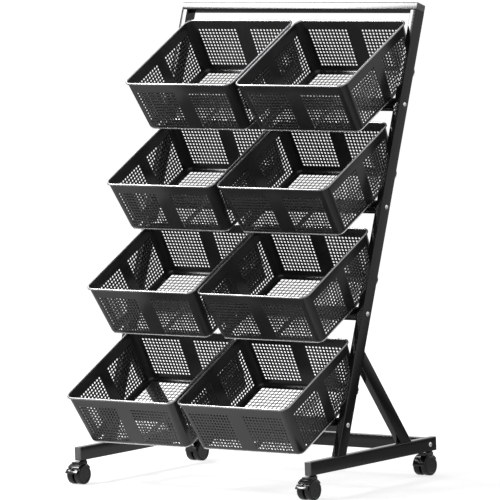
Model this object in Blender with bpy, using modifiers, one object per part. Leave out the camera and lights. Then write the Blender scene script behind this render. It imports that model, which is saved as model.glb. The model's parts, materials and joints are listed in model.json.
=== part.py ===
"""Leaning four-tier rack with two perforated trays on each tier, standing on twin-wheel casters.

Metres, +Z up, the front faces -Y. The origin lies on the floor, under the middle of the rack.
"""
import math

import bmesh
import bpy
from mathutils import Matrix, Vector

# Overall sizes
RACK_WIDTH = 0.758
RACK_HEIGHT = 1.200
LEAN = math.radians(19.9)

# Clearances
SEAT_GAP = 0.0003
OVERRUN = 0.010

# Rectangular tube that all of the frame is made of
TUBE_FACE = 0.020
TUBE_SIDE = 0.035
TUBE_WALL = 0.0015
TUBE_CORNER = 0.0025
END_PLATE = 0.003

# Side frames
FOOT_LENGTH = 0.528
UPRIGHT_SETBACK = 0.1115
BRACE_REACH = 0.423
BRACE_ANGLE = math.radians(53.6)
PLUG_FLANGE = 0.002
PLUG_DEPTH = 0.011
REAR_BAR_INSET = 0.029

# Tiers, counted from the lowest
TIER_COUNT = 4
LOWEST_BAR = 0.084
LOWEST_PITCH = 0.285
PITCH_STEP = 0.0092

# Trays
TRAY_TILT = math.radians(27.9)
TRAY_DEPTH = 0.317
TRAY_HEIGHT = 0.146
TRAY_TAPER = 0.0105
TRAY_CORNER = 0.018
TRAY_EDGE = 0.009
TRAY_SHEET = 0.0012
TRAY_FORWARD = 0.0066
TRAY_GAP = 0.0065
TRAY_SIDE_CLEARANCE = 0.00325
RIM_LIP = 0.0035
RIM_DROP = 0.004

# Openings of the trays: a plain grid in two windows of each wall and four of the floor
WINDOW_COLUMNS = 3
WINDOW_ROWS = 2
OPEN_SHARE = 0.5
WINDOW_TOP = 0.028
WINDOW_FOOT = 0.0115
WINDOW_MARGIN = 0.003
WALL_STRIP = 0.0445
FLOOR_STRIP = 0.052
FLOOR_MARGIN = 0.006

# Bolts that hold the crossbars
BOLT_RADIUS = 0.003
BOLT_HEAD_RADIUS = 0.006
BOLT_HEAD_HEIGHT = 0.0032
BOLT_HEAD_ROUND = 0.0016
BOLT_TAIL = 0.006

# Casters
CASTER_HEIGHT = 0.060
CASTER_INSET = 0.021
CASTER_TRAIL = 0.018
WHEEL_RADIUS = 0.025
WHEEL_WIDTH = 0.018
WHEEL_ROUND = 0.0035
WHEEL_DISH = 0.0015
WHEEL_RIM = 0.004
WEB_THICKNESS = 0.005
WHEEL_SIDE_GAP = 0.0005
AXLE_RADIUS = 0.003
WHEEL_CAP = 0.004
BOSS_RADIUS = 0.008
HOOD_CLEARANCE = 0.002
HOOD_WALL = 0.002
HOOD_SIDE_STEP = 0.002
HOOD_BACK_ANGLE = math.radians(32)
HOOD_FRONT_ANGLE = math.radians(2)
BRAKED_FRONT_ANGLE = math.radians(41)
SOCKET_RADIUS = 0.011
SOCKET_FLOOR = 0.0015
STEM_RADIUS = 0.005
STEM_FLANGE_RADIUS = 0.009
STEM_FLANGE = 0.002
STEM_TOP = 0.010

# Brake pedals of the two front casters
PEDAL_PIVOT_ANGLE = math.radians(30.5)
PEDAL_PIVOT_CLEARANCE = 0.0013
PEDAL_PIN_RADIUS = 0.0022
PEDAL_LUG_WALL = 0.0022
PEDAL_LENGTH = 0.0115
PEDAL_THICKNESS = 0.0024
PEDAL_SLOPE = math.radians(38)
PEDAL_ROUND = 0.0008

# Facets round a full circle
ROUND_STEPS = 20
SMALL_STEPS = 12
SMOOTH_ANGLE = math.radians(40)

PARTS = "fruit_rack"
CUTTERS = "fruit_rack_cutters"

# Directions
ACROSS = Vector((1, 0, 0))
REARWARD = Vector((0, 1, 0))
UPWARD = Vector((0, 0, 1))
UP_POST = Vector((0, math.sin(LEAN), math.cos(LEAN)))
THROUGH_POST = Vector((0, math.cos(LEAN), -math.sin(LEAN)))
TRAY_BACK = Vector((0, math.cos(TRAY_TILT), math.sin(TRAY_TILT)))
TRAY_UP = Vector((0, -math.sin(TRAY_TILT), math.cos(TRAY_TILT)))
UP_BRACE = Vector((0, -math.cos(BRACE_ANGLE), math.sin(BRACE_ANGLE)))
BEHIND_BRACE = Vector((0, math.sin(BRACE_ANGLE), math.cos(BRACE_ANGLE)))

# Places that follow from the sizes
FOOT_TOP = CASTER_HEIGHT + TUBE_SIDE
SIDE_X = RACK_WIDTH / 2 - TUBE_FACE / 2
INNER_X = RACK_WIDTH / 2 - TUBE_FACE
BAR_LENGTH = 2 * (INNER_X - SEAT_GAP)
TRAY_WIDTH = INNER_X - TRAY_SIDE_CLEARANCE - TRAY_GAP / 2
WALL_SLOPE = math.atan2(TRAY_TAPER, TRAY_HEIGHT)


def bar_along(tier):
    """Distance up the post of a tier's crossbar, from where the post meets the foot."""
    return LOWEST_BAR + tier * LOWEST_PITCH - PITCH_STEP * tier * (tier - 1) / 2


def from_foot_front(tier):
    """Middle of a tier's crossbar, with Y counted from the front end of the foot."""
    post = Vector((0, UPRIGHT_SETBACK, FOOT_TOP))
    return post + UP_POST * bar_along(tier) + THROUGH_POST * TUBE_SIDE / 2


def tray_rim_middle(tier):
    """Middle of the rim of a tier's trays, with Y counted from the front end of the foot."""
    lift = TUBE_FACE / 2 + SEAT_GAP + TRAY_HEIGHT
    return from_foot_front(tier) + TRAY_UP * lift - TRAY_BACK * TRAY_FORWARD


def front_reach():
    """Foremost point of the rack: the front of the lowest tray's rim."""
    return tray_rim_middle(0).y - TRAY_BACK.y * TRAY_DEPTH / 2


def rear_reach():
    """Rearmost point of the rack: the rounded lower rear edge of the highest tray."""
    turn = math.tan((math.pi / 2 + WALL_SLOPE) / 2)
    radius = TRAY_EDGE * turn
    back = tray_wall_half(TRAY_DEPTH) - TRAY_TAPER - TRAY_EDGE
    corner = TRAY_BACK * back + TRAY_UP * (radius - TRAY_HEIGHT)
    return tray_rim_middle(TIER_COUNT - 1).y + corner.y + radius


def tray_wall_half(size):
    """Half a tray's outer size at the top of its walls, inside the rolled rim."""
    return size / 2 - RIM_LIP - TRAY_SHEET


FOOT_FRONT = -(front_reach() + rear_reach()) / 2
POST_FOOT = Vector((0, FOOT_FRONT + UPRIGHT_SETBACK, FOOT_TOP))
REAR_BAR_MIDDLE = Vector((0, FOOT_FRONT + FOOT_LENGTH - REAR_BAR_INSET, CASTER_HEIGHT + TUBE_SIDE / 2))


def clear_scene():
    for thing in list(bpy.data.objects):
        bpy.data.objects.remove(thing)


def make_collection(name):
    collection = bpy.data.collections.new(name)
    bpy.context.scene.collection.children.link(collection)
    return collection


def make_material(name, colour, roughness, metallic):
    material = bpy.data.materials.new(name)
    material.use_nodes = True
    shader = material.node_tree.nodes["Principled BSDF"]
    shader.inputs["Base Color"].default_value = (*colour, 1)
    shader.inputs["Roughness"].default_value = roughness
    shader.inputs["Metallic"].default_value = metallic
    material.diffuse_color = (*colour, 1)
    return material


def powder_coat():
    return make_material("frame_black", (0.012, 0.012, 0.013), 0.22, 0.0)


def tray_coat():
    return make_material("tray_black", (0.02, 0.02, 0.021), 0.38, 0.0)


def zinc():
    return make_material("bolt_zinc", (0.72, 0.72, 0.70), 0.25, 1.0)


def plug_plastic():
    return make_material("plug_black", (0.03, 0.03, 0.032), 0.3, 0.0)


def hood_plastic():
    return make_material("caster_black", (0.012, 0.012, 0.012), 0.18, 0.0)


def wheel_plastic():
    return make_material("wheel_black", (0.018, 0.018, 0.018), 0.35, 0.0)


def bright_steel():
    return make_material("caster_steel", (0.55, 0.55, 0.56), 0.3, 1.0)


def placing(origin, x_axis, y_axis):
    """Matrix of a piece at origin, with its own X and Y along the two directions."""
    turn = Matrix((x_axis, y_axis, x_axis.cross(y_axis))).transposed().to_4x4()
    return Matrix.Translation(origin) @ turn


def add_piece(name, mesh, material, matrix, parent=None):
    """Put a finished mesh in the rack's collection as a named piece."""
    piece = bpy.data.objects.new(name, mesh)
    bpy.data.collections[PARTS].objects.link(piece)
    if not mesh.materials:
        mesh.materials.append(material)
    if parent:
        piece.parent = parent
        piece.matrix_parent_inverse = parent.matrix_world.inverted()
    piece.matrix_world = matrix
    return piece


def add_tool(name, mesh, matrix=None):
    """Put a mesh in the cutters' collection, hidden from renders and shown as wire."""
    tool = bpy.data.objects.new(name, mesh)
    bpy.data.collections[CUTTERS].objects.link(tool)
    tool.hide_render = True
    tool.display_type = "WIRE"
    if matrix:
        tool.matrix_world = matrix
    return tool


def cut(piece, tool):
    """Take a tool's shape out of a piece."""
    step = piece.modifiers.new("cut_" + tool.name, "BOOLEAN")
    step.operation = "DIFFERENCE"
    step.solver = "EXACT"
    step.object = tool


def join(piece, tool):
    """Join a tool's shape to a piece."""
    step = piece.modifiers.new("join_" + tool.name, "BOOLEAN")
    step.operation = "UNION"
    step.solver = "EXACT"
    step.object = tool


def box_mesh(name, size, centre=Vector((0, 0, 0))):
    """Plain box of a size about a centre."""
    shape = bmesh.new()
    bmesh.ops.create_cube(shape, size=1)
    bmesh.ops.transform(shape, matrix=Matrix.Diagonal((*size, 1)), verts=shape.verts)
    bmesh.ops.translate(shape, vec=centre, verts=shape.verts)
    return mesh_from(shape, name)


def rod_mesh(name, radius, length, steps, matrix=Matrix()):
    """Round rod along its own Z, about its middle."""
    shape = bmesh.new()
    bmesh.ops.create_cone(shape, cap_ends=True, segments=steps, radius1=radius, radius2=radius,
                          depth=length, matrix=matrix)
    return mesh_from(shape, name)


def mesh_from(shape, name):
    mesh = bpy.data.meshes.new(name)
    shape.to_mesh(mesh)
    shape.free()
    return mesh


def smooth(mesh):
    mesh.shade_smooth()
    mesh.set_sharp_from_angle(angle=SMOOTH_ANGLE)


def finished_mesh(draft, name):
    """The mesh of a draft with its modifiers worked in; the draft is removed."""
    bpy.context.view_layer.update()
    evaluated = draft.evaluated_get(bpy.context.evaluated_depsgraph_get())
    mesh = bpy.data.meshes.new_from_object(evaluated)
    mesh.name = name
    bpy.data.objects.remove(draft)
    smooth(mesh)
    return mesh


def turned_mesh(name, profile, steps):
    """Shape turned about its own Z from (radius, height) points that start and end on the axis."""
    outline = bpy.data.meshes.new(name)
    edges = [(i, i + 1) for i in range(len(profile) - 1)]
    outline.from_pydata([(radius, 0, height) for radius, height in profile], edges, [])
    draft = add_tool(name, outline)
    turn = draft.modifiers.new("turn", "SCREW")
    turn.axis = "Z"
    turn.steps = steps
    turn.render_steps = steps
    turn.use_merge_vertices = True
    turn.merge_threshold = SEAT_GAP / 10
    return finished_mesh(draft, name)


def rounded_tube_mesh(name, length):
    """Outside of the frame's tube: face along X, side along Y, length along Z."""
    shape = bmesh.new()
    bmesh.ops.create_cube(shape, size=1)
    size = Matrix.Diagonal((TUBE_FACE, TUBE_SIDE, length, 1))
    bmesh.ops.transform(shape, matrix=size, verts=shape.verts)
    long_edges = [edge for edge in shape.edges if abs(edge.verts[0].co.z - edge.verts[1].co.z) > length / 2]
    bmesh.ops.bevel(shape, geom=long_edges, offset=TUBE_CORNER, offset_type="OFFSET", segments=2,
                    profile=0.5, affect="EDGES", material=-1)
    return mesh_from(shape, name)


def bore_tool(name, length, matrix):
    """Cutter for the hollow of a tube, over the given length."""
    size = Vector((TUBE_FACE - 2 * TUBE_WALL, TUBE_SIDE - 2 * TUBE_WALL, length))
    return add_tool(name, box_mesh(name, size), matrix)


def tube(name, length, matrix, material, hollow):
    """A length of the frame's tube, hollow over the given length."""
    piece = add_piece(name, rounded_tube_mesh(name, length), material, matrix)
    smooth(piece.data)
    cut(piece, bore_tool("bore_" + name, hollow, matrix))
    return piece


def under_foot_top_tool():
    """Cutter that trims posts and braces to the top of the feet."""
    height = RACK_HEIGHT / 2
    size = Vector((RACK_WIDTH + 2 * OVERRUN, 2 * FOOT_LENGTH, height))
    centre = Vector((0, POST_FOOT.y, FOOT_TOP + SEAT_GAP - height / 2))
    return add_tool("under_foot_top", box_mesh("under_foot_top", size, centre))


def before_post_back_tool():
    """Cutter that trims braces to the rear face of the posts."""
    depth = FOOT_LENGTH / 2
    size = Vector((RACK_WIDTH + 2 * OVERRUN, depth, 2 * RACK_HEIGHT))
    centre = POST_FOOT + THROUGH_POST * (TUBE_SIDE + SEAT_GAP - depth / 2)
    matrix = placing(centre, ACROSS, THROUGH_POST)
    return add_tool("before_post_back", box_mesh("before_post_back", size), matrix)


def bolt_holes_tool(name, middles):
    """Cutter for bolt holes that run right across the rack, one about each middle."""
    radius = BOLT_RADIUS + SEAT_GAP
    length = RACK_WIDTH + 2 * OVERRUN
    shape = bmesh.new()
    for middle in middles:
        bmesh.ops.create_cone(shape, cap_ends=True, segments=SMALL_STEPS, radius1=radius, radius2=radius,
                              depth=length, matrix=placing(middle, REARWARD, UPWARD))
    return add_tool(name, mesh_from(shape, name))


def stem_hole_tool(name, place):
    """Cutter for a caster's stem in the lower wall of a foot."""
    matrix = Matrix.Translation(place)
    return add_tool(name, rod_mesh(name, STEM_RADIUS + SEAT_GAP, TUBE_SIDE, SMALL_STEPS), matrix)


def bar_middle(tier):
    return from_foot_front(tier) + REARWARD * FOOT_FRONT


def caster_places(side):
    """Where the stems of a foot's front and rear casters stand, at the underside of the foot."""
    front = Vector((side * SIDE_X, FOOT_FRONT + CASTER_INSET, CASTER_HEIGHT))
    rear = Vector((side * SIDE_X, FOOT_FRONT + FOOT_LENGTH - CASTER_INSET, CASTER_HEIGHT))
    return {"front": front, "rear": rear}


def build_upright(side, name, material, trim, bolt_tool):
    """Leaning post of a side frame, standing on the foot."""
    length = (RACK_HEIGHT - FOOT_TOP) / math.cos(LEAN) - TUBE_FACE - SEAT_GAP
    middle = POST_FOOT + UP_POST * length / 2 + THROUGH_POST * TUBE_SIDE / 2 + ACROSS * side * SIDE_X
    post = tube(name, length, placing(middle, ACROSS, THROUGH_POST) @ Matrix.Rotation(math.pi, 4, "Y"),
                material, length + 2 * OVERRUN)
    cut(post, trim)
    cut(post, bolt_tool)


def build_foot(side, name, material, bolt_tool):
    """Level foot of a side frame, open at both ends for its plugs."""
    length = FOOT_LENGTH - 2 * (PLUG_FLANGE + SEAT_GAP)
    middle = Vector((side * SIDE_X, FOOT_FRONT + FOOT_LENGTH / 2, CASTER_HEIGHT + TUBE_SIDE / 2))
    foot = tube(name, length, placing(middle, ACROSS, -UPWARD), material, length + 2 * OVERRUN)
    for end, place in caster_places(side).items():
        cut(foot, stem_hole_tool("stem_hole_" + end + "_" + name, place))
    cut(foot, bolt_tool)


def brace_run():
    """Distance from the foot to the post along the rear face of the brace."""
    start = Vector((0, FOOT_FRONT + BRACE_REACH, FOOT_TOP))
    depth = (start - POST_FOOT).dot(THROUGH_POST)
    return start, (depth - TUBE_SIDE) / -UP_BRACE.dot(THROUGH_POST)


def build_brace(side, name, material, foot_trim, post_trim):
    """Sloping brace between the post's rear face and the foot, mitred at both ends."""
    start, run = brace_run()
    spare = 2 * TUBE_SIDE
    middle = start + UP_BRACE * run / 2 - BEHIND_BRACE * TUBE_SIDE / 2 + ACROSS * side * SIDE_X
    length = run + 2 * spare
    brace = tube(name, length, placing(middle, -ACROSS, BEHIND_BRACE), material, length + 2 * OVERRUN)
    cut(brace, foot_trim)
    cut(brace, post_trim)


def build_top_bar(material):
    """Bar that lies across the upper ends of the posts."""
    along = (RACK_HEIGHT - FOOT_TOP) / math.cos(LEAN) - TUBE_FACE / 2
    middle = POST_FOOT + UP_POST * along + THROUGH_POST * TUBE_SIDE / 2
    length = RACK_WIDTH - 2 * (PLUG_FLANGE + SEAT_GAP)
    tube("top_bar", length, placing(middle, UP_POST, THROUGH_POST), material, length + 2 * OVERRUN)


def build_crossbar(name, matrix, material, bolt_tool):
    """Bar between the side frames, with an end plate that takes a bolt at each end."""
    bar = tube(name, BAR_LENGTH, matrix, material, BAR_LENGTH - 2 * END_PLATE)
    cut(bar, bolt_tool)


def plug_mesh():
    """End plug of a tube: a body inside the tube and a flange outside, along +Z."""
    inside = 2 * (TUBE_WALL + SEAT_GAP)
    body = Vector((TUBE_FACE - inside, TUBE_SIDE - inside, PLUG_DEPTH))
    shape = bmesh.new()
    bmesh.ops.create_cube(shape, size=1)
    size = Matrix.Diagonal((TUBE_FACE, TUBE_SIDE, PLUG_FLANGE, 1))
    bmesh.ops.transform(shape, matrix=size, verts=shape.verts)
    corners = [edge for edge in shape.edges if abs(edge.verts[0].co.z - edge.verts[1].co.z) > PLUG_FLANGE / 2]
    bmesh.ops.bevel(shape, geom=corners, offset=TUBE_CORNER, offset_type="OFFSET", segments=2,
                    profile=0.5, affect="EDGES", material=-1)
    bmesh.ops.translate(shape, vec=UPWARD * PLUG_FLANGE / 2, verts=shape.verts)
    draft = add_tool("plug", mesh_from(shape, "plug"))
    core = box_mesh("plug_body", body, UPWARD * (PLUG_FLANGE / 2 - PLUG_DEPTH / 2))
    core_tool = add_tool("plug_body", core)
    join(draft, core_tool)
    mesh = finished_mesh(draft, "plug")
    bpy.data.objects.remove(core_tool)
    return mesh


def build_foot_plugs(side, side_name, mesh, material):
    """Plugs in the two ends of a foot."""
    middle = Vector((side * SIDE_X, FOOT_FRONT + PLUG_FLANGE, CASTER_HEIGHT + TUBE_SIDE / 2))
    add_piece("foot_plug_front_" + side_name, mesh, material, placing(middle, ACROSS, UPWARD))
    middle = middle + REARWARD * (FOOT_LENGTH - 2 * PLUG_FLANGE)
    add_piece("foot_plug_rear_" + side_name, mesh, material, placing(middle, ACROSS, -UPWARD))


def build_top_plugs(mesh, material):
    """Plugs in the two ends of the top bar."""
    along = (RACK_HEIGHT - FOOT_TOP) / math.cos(LEAN) - TUBE_FACE / 2
    middle = POST_FOOT + UP_POST * along + THROUGH_POST * TUBE_SIDE / 2
    reach = ACROSS * (RACK_WIDTH / 2 - PLUG_FLANGE)
    add_piece("top_plug_left", mesh, material, placing(middle - reach, UP_POST, THROUGH_POST))
    add_piece("top_plug_right", mesh, material, placing(middle + reach, UP_POST, -THROUGH_POST))


def bolt_mesh():
    """Round-headed bolt along -Z, its head's underside at Z = 0."""
    length = TUBE_FACE + 2 * SEAT_GAP + END_PLATE + BOLT_TAIL
    shoulder = BOLT_HEAD_HEIGHT - BOLT_HEAD_ROUND
    profile = [
        (0, BOLT_HEAD_HEIGHT),
        (BOLT_HEAD_RADIUS - BOLT_HEAD_ROUND, BOLT_HEAD_HEIGHT),
        (BOLT_HEAD_RADIUS, shoulder),
        (BOLT_HEAD_RADIUS, 0),
        (BOLT_RADIUS, 0),
        (BOLT_RADIUS, -length),
        (0, -length),
    ]
    return turned_mesh("bolt", profile, SMALL_STEPS)


def build_bolts(name, middle, mesh, material):
    """A bolt through each side frame into one crossbar."""
    reach = ACROSS * (RACK_WIDTH / 2 + SEAT_GAP)
    add_piece(name + "_left", mesh, material, placing(middle - reach, UPWARD, REARWARD))
    add_piece(name + "_right", mesh, material, placing(middle + reach, REARWARD, UPWARD))


def tray_mesh():
    """Open tray with tapered walls, rounded corners and a rim rolled outwards and down."""
    shape = bmesh.new()
    bmesh.ops.create_cube(shape, size=1)
    half_x = tray_wall_half(TRAY_WIDTH)
    half_y = tray_wall_half(TRAY_DEPTH)
    for vert in shape.verts:
        inset = 0 if vert.co.z > 0 else TRAY_TAPER
        vert.co.x = math.copysign(half_x - inset, vert.co.x)
        vert.co.y = math.copysign(half_y - inset, vert.co.y)
        vert.co.z = 0 if vert.co.z > 0 else -TRAY_HEIGHT
    lid = [face for face in shape.faces if all(vert.co.z == 0 for vert in face.verts)]
    bmesh.ops.delete(shape, geom=lid, context="FACES_ONLY")
    walls = [edge for edge in shape.edges if abs(edge.verts[0].co.z - edge.verts[1].co.z) > TRAY_HEIGHT / 2]
    bmesh.ops.bevel(shape, geom=walls, offset=TRAY_CORNER, offset_type="OFFSET", segments=3,
                    profile=0.5, affect="EDGES", material=-1)
    floor = min(vert.co.z for vert in shape.verts)
    edges = [edge for edge in shape.edges
             if all(abs(vert.co.z - floor) < SEAT_GAP for vert in edge.verts) and len(edge.link_faces) == 2]
    bmesh.ops.bevel(shape, geom=edges, offset=TRAY_EDGE, offset_type="OFFSET", segments=2,
                    profile=0.5, affect="EDGES", material=-1)
    roll_rim(shape, half_x, half_y)
    bmesh.ops.recalc_face_normals(shape, faces=shape.faces)
    draft = add_tool("tray", mesh_from(shape, "tray"))
    sheet = draft.modifiers.new("sheet", "SOLIDIFY")
    sheet.thickness = TRAY_SHEET
    sheet.offset = -1
    sheet.use_even_offset = True
    cut_windows(draft, half_x - TRAY_TAPER, half_y - TRAY_TAPER)
    return finished_mesh(draft, "tray")


def cut_windows(draft, floor_x, floor_y):
    """Cut the windows of openings in the walls and floor of a tray, given its floor's half sizes."""
    wall_end = TRAY_CORNER + WINDOW_MARGIN
    floor_end = TRAY_EDGE + FLOOR_MARGIN
    across = grid(WALL_STRIP / 2, floor_x - wall_end, WINDOW_COLUMNS)
    along = grid(WALL_STRIP / 2, floor_y - wall_end, WINDOW_COLUMNS)
    down = grid(WINDOW_TOP, TRAY_HEIGHT - WINDOW_FOOT, WINDOW_ROWS)
    floor_across = grid(WALL_STRIP / 2, floor_x - floor_end, WINDOW_COLUMNS)
    floor_along = grid(FLOOR_STRIP / 2, floor_y - floor_end, WINDOW_ROWS)
    middle = Vector((0, 0, 0))
    floor = -UPWARD * TRAY_HEIGHT
    through = 2 * TRAY_WIDTH
    cut(draft, openings_tool("end_windows", across, down, (-1,), through, placing(middle, ACROSS, UPWARD)))
    cut(draft, openings_tool("side_windows", along, down, (-1,), through, placing(middle, REARWARD, UPWARD)))
    cut(draft, openings_tool("floor_windows", floor_across, floor_along, (-1, 1), TRAY_HEIGHT,
                             placing(floor, ACROSS, REARWARD)))


def grid(start, end, count):
    """Middles of equal cells between two places, and the size of the opening in each."""
    cell = (end - start) / count
    return [start + cell * (2 * step + 1) / 2 for step in range(count)], cell * OPEN_SHARE


def openings_tool(name, columns, rows, row_signs, depth, matrix):
    """Cutter of separate boxes on a grid's rows, and on its columns both sides of the middle."""
    size = Matrix.Diagonal((columns[1], rows[1], depth, 1))
    places = [(sign * column, row_sign * row, 0) for sign in (-1, 1) for column in columns[0]
              for row_sign in row_signs for row in rows[0]]
    shape = bmesh.new()
    for place in places:
        bmesh.ops.create_cube(shape, size=1, matrix=Matrix.Translation(place) @ size)
    return add_tool(name, mesh_from(shape, name), matrix)


def roll_rim(shape, half_x, half_y):
    """Run the top edge of a tray's walls outwards, then down."""
    stretch = Matrix.Diagonal(((half_x + RIM_LIP) / half_x, (half_y + RIM_LIP) / half_y, 1, 1))
    edge = [edge for edge in shape.edges if edge.is_boundary]
    verts = extrude_edges(shape, edge)
    bmesh.ops.transform(shape, matrix=stretch, verts=verts)
    outer = [edge for edge in shape.edges if edge.is_boundary and all(vert in verts for vert in edge.verts)]
    verts = extrude_edges(shape, outer)
    bmesh.ops.translate(shape, vec=-UPWARD * RIM_DROP, verts=verts)


def extrude_edges(shape, edges):
    grown = bmesh.ops.extrude_edge_only(shape, edges=edges)["geom"]
    return [item for item in grown if isinstance(item, bmesh.types.BMVert)]


def build_trays(material):
    """Two trays on each tier, tilted forwards on their crossbar."""
    mesh = tray_mesh()
    reach = (TRAY_WIDTH + TRAY_GAP) / 2
    for tier in range(TIER_COUNT):
        middle = tray_rim_middle(tier) + REARWARD * FOOT_FRONT
        for side, side_name in SIDES:
            matrix = placing(middle + ACROSS * side * reach, ACROSS, TRAY_BACK)
            add_piece("tray_" + str(tier + 1) + "_" + side_name, mesh, material, matrix)


SIDES = ((-1, "left"), (1, "right"))
ALONG_AXLE = placing(Vector((0, 0, 0)), REARWARD, UPWARD)


def wheel_mesh():
    """Wheel along its own Z: a dished outer side, a rounded tread and a blind bore for the axle.

    It stands on a facet of its tread, so the facets and not their corners lie at the wheel's radius.
    """
    half = WHEEL_WIDTH / 2
    tread = WHEEL_RADIUS / math.cos(math.pi / ROUND_STEPS)
    bore = AXLE_RADIUS + SEAT_GAP
    chamfer = WHEEL_ROUND / 3
    dish = tread - WHEEL_ROUND - WHEEL_RIM
    profile = [
        (0, half - WHEEL_DISH),
        (dish, half - WHEEL_DISH),
        (dish + WHEEL_DISH, half),
        (tread - WHEEL_ROUND, half),
        (tread - chamfer, half - chamfer),
        (tread, half - WHEEL_ROUND),
        (tread, WHEEL_ROUND - half),
        (tread - chamfer, chamfer - half),
        (tread - WHEEL_ROUND, -half),
        (bore, -half),
        (bore, half - WHEEL_CAP),
        (0, half - WHEEL_CAP),
    ]
    mesh = turned_mesh("wheel", profile, ROUND_STEPS)
    mesh.transform(Matrix.Rotation(math.pi / ROUND_STEPS, 4, "Z"))
    return mesh


def stem_mesh():
    """Caster stem along Z, its flange just under Z = 0 and its threaded end above."""
    low = socket_floor() + SEAT_GAP - CASTER_HEIGHT
    flange_top = -SEAT_GAP
    profile = [
        (0, STEM_TOP),
        (STEM_RADIUS, STEM_TOP),
        (STEM_RADIUS, flange_top),
        (STEM_FLANGE_RADIUS, flange_top),
        (STEM_FLANGE_RADIUS, flange_top - STEM_FLANGE),
        (STEM_RADIUS, flange_top - STEM_FLANGE),
        (STEM_RADIUS, low),
        (0, low),
    ]
    return turned_mesh("caster_stem", profile, SMALL_STEPS)


def socket_floor():
    """Height above the floor of the bottom of the stem's socket, clear of the wheels' pockets."""
    near = CASTER_TRAIL - STEM_RADIUS - SEAT_GAP
    pocket = WHEEL_RADIUS + HOOD_CLEARANCE
    return WHEEL_RADIUS + math.sqrt(pocket ** 2 - near ** 2) + SOCKET_FLOOR


def housing_half():
    """Half the width of the hood over the two wheels."""
    return WEB_THICKNESS / 2 + WHEEL_SIDE_GAP + WHEEL_WIDTH - HOOD_SIDE_STEP


def pedal_pivot():
    """Place of the pedal's pin in the housing, counted from the axle."""
    radius = WHEEL_RADIUS + PEDAL_PIVOT_CLEARANCE + PEDAL_PIN_RADIUS
    return Vector((0, -math.cos(PEDAL_PIVOT_ANGLE), math.sin(PEDAL_PIVOT_ANGLE))) * radius


def half_plane_tool(name, angle):
    """Cutter for all that lies below a line through the axle, turned about X by an angle."""
    size = 4 * WHEEL_RADIUS
    mesh = box_mesh(name, Vector((size, size, size)), -UPWARD * size / 2)
    return add_tool(name, mesh, Matrix.Rotation(angle, 4, "X"))


def housing_mesh(name, front_angle, braked):
    """Caster housing about its axle: a web between the wheels, a hood over them and a socket."""
    outer = WHEEL_RADIUS + HOOD_CLEARANCE + HOOD_WALL
    pocket = WHEEL_RADIUS + HOOD_CLEARANCE
    width = 2 * housing_half()
    top = CASTER_HEIGHT - WHEEL_RADIUS - STEM_FLANGE - 2 * SEAT_GAP
    draft = add_tool(name, rod_mesh(name, outer, width, ROUND_STEPS, ALONG_AXLE))
    tools = []
    socket = Matrix.Translation((0, CASTER_TRAIL, top / 2))
    tools.append((join, "socket", rod_mesh("socket", SOCKET_RADIUS, top, ROUND_STEPS, socket)))
    for side, side_name in SIDES:
        shift = Matrix.Translation(ACROSS * side * (WEB_THICKNESS / 2 + width / 2))
        pocket_mesh = rod_mesh("pocket", pocket, width, ROUND_STEPS, shift @ ALONG_AXLE)
        tools.append((cut, "pocket_" + side_name, pocket_mesh))
    for step, label, mesh in tools:
        step(draft, add_tool(label, mesh))
    cut(draft, half_plane_tool("below_front", -front_angle))
    cut(draft, half_plane_tool("below_back", HOOD_BACK_ANGLE))
    boss = rod_mesh("boss", BOSS_RADIUS, WEB_THICKNESS, ROUND_STEPS, ALONG_AXLE)
    join(draft, add_tool("boss", boss))
    if braked:
        add_pedal_lug(draft)
    bore = rod_mesh("axle_hole", AXLE_RADIUS + SEAT_GAP, 2 * width, SMALL_STEPS, ALONG_AXLE)
    cut(draft, add_tool("axle_hole", bore))
    depth = CASTER_HEIGHT - socket_floor()
    middle = CASTER_HEIGHT - WHEEL_RADIUS - depth / 2
    hole = Matrix.Translation((0, CASTER_TRAIL, middle))
    cut(draft, add_tool("stem_socket", rod_mesh("stem_socket", STEM_RADIUS + SEAT_GAP, depth, SMALL_STEPS, hole)))
    return finished_mesh(draft, name)


def add_pedal_lug(draft):
    """Lug on the web that carries the pedal's pin."""
    pivot = pedal_pivot()
    radius = PEDAL_PIN_RADIUS + SEAT_GAP + PEDAL_LUG_WALL
    shift = Matrix.Translation(pivot)
    join(draft, add_tool("lug", rod_mesh("lug", radius, WEB_THICKNESS, SMALL_STEPS, shift @ ALONG_AXLE)))
    run = Vector((WEB_THICKNESS, pivot.length, 2 * radius - PEDAL_LUG_WALL))
    arm = placing(pivot / 2, ACROSS, -pivot.normalized())
    join(draft, add_tool("lug_arm", box_mesh("lug_arm", run), arm))
    pin = rod_mesh("pin_hole", PEDAL_PIN_RADIUS + SEAT_GAP, 2 * WEB_THICKNESS, SMALL_STEPS, shift @ ALONG_AXLE)
    cut(draft, add_tool("pin_hole", pin))


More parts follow.
